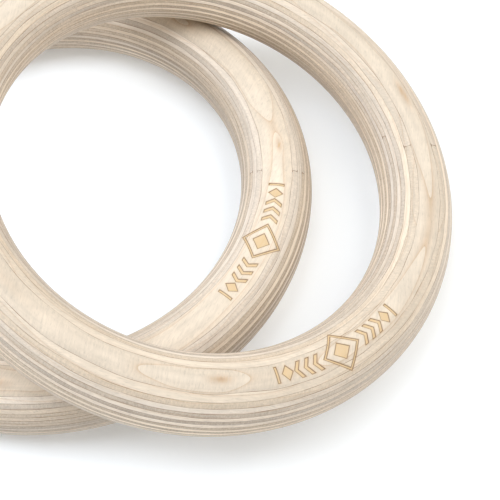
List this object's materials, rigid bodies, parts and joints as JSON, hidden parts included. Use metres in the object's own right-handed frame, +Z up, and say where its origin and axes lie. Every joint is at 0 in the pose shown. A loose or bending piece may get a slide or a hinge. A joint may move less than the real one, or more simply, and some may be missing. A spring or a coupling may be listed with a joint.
{
  "type": "gymnastics rings",
  "caption": "Pair of plain laminated birch gymnastics rings with a round grip, one lying flat and the other leaning across it.",
  "frame": {"origin": "on the floor, at the middle of the bounding box of the resting pair", "axes": "+Z up, +X from the lower ring's centre towards the upper ring's centre, which is the way the upper ring slopes down"},
  "size_m": [0.2978, 0.235, 0.0847],
  "materials": {
    "veneer_lengthwise": "matte",
    "veneer_crosswise": "matte"
  },
  "bodies": {
    "lower_ring": {"lower_ring_ply_01": "veneer_lengthwise", "lower_ring_ply_02_front_half": "veneer_crosswise", "lower_ring_ply_02_rear_half": "veneer_crosswise", "lower_ring_ply_03": "veneer_lengthwise", "lower_ring_ply_04_front_half": "veneer_crosswise", "lower_ring_ply_04_rear_half": "veneer_crosswise", "lower_ring_ply_05": "veneer_lengthwise", "lower_ring_ply_06": "veneer_crosswise", "lower_ring_ply_07": "veneer_lengthwise", "lower_ring_ply_08": "veneer_crosswise", "lower_ring_ply_09": "veneer_lengthwise", "lower_ring_ply_10": "veneer_crosswise", "lower_ring_ply_11": "veneer_lengthwise", "lower_ring_ply_12": "veneer_crosswise", "lower_ring_ply_13": "veneer_lengthwise", "lower_ring_ply_14": "veneer_crosswise", "lower_ring_ply_15": "veneer_lengthwise", "lower_ring_ply_16": "veneer_crosswise", "lower_ring_ply_17": "veneer_lengthwise", "lower_ring_ply_18": "veneer_crosswise", "lower_ring_ply_19": "veneer_lengthwise", "lower_ring_ply_20": "veneer_crosswise", "lower_ring_ply_21": "veneer_lengthwise", "lower_ring_ply_22": "veneer_crosswise", "lower_ring_ply_23": "veneer_lengthwise"},
    "upper_ring": {"upper_ring_ply_01": "veneer_lengthwise", "upper_ring_ply_02_front_half": "veneer_crosswise", "upper_ring_ply_02_rear_half": "veneer_crosswise", "upper_ring_ply_03": "veneer_lengthwise", "upper_ring_ply_04": "veneer_crosswise", "upper_ring_ply_05": "veneer_lengthwise", "upper_ring_ply_06_front_half": "veneer_crosswise", "upper_ring_ply_06_rear_half": "veneer_crosswise", "upper_ring_ply_07": "veneer_lengthwise", "upper_ring_ply_08": "veneer_crosswise", "upper_ring_ply_09": "veneer_lengthwise", "upper_ring_ply_10": "veneer_crosswise", "upper_ring_ply_11": "veneer_lengthwise", "upper_ring_ply_12_front_half": "veneer_crosswise", "upper_ring_ply_12_rear_half": "veneer_crosswise", "upper_ring_ply_13": "veneer_lengthwise", "upper_ring_ply_14": "veneer_crosswise", "upper_ring_ply_15": "veneer_lengthwise", "upper_ring_ply_16": "veneer_crosswise", "upper_ring_ply_17": "veneer_lengthwise", "upper_ring_ply_18": "veneer_crosswise", "upper_ring_ply_19": "veneer_lengthwise", "upper_ring_ply_20": "veneer_crosswise", "upper_ring_ply_21": "veneer_lengthwise", "upper_ring_ply_22": "veneer_crosswise", "upper_ring_ply_23": "veneer_lengthwise", "upper_ring_ply_24": "veneer_crosswise"}
  },
  "joints": [
    {"name": "upper_ring_lift", "type": "slide", "parent": "lower_ring", "child": "upper_ring", "axis": [0, 0, 1], "range_m": [0, 0.15]}
  ]
}
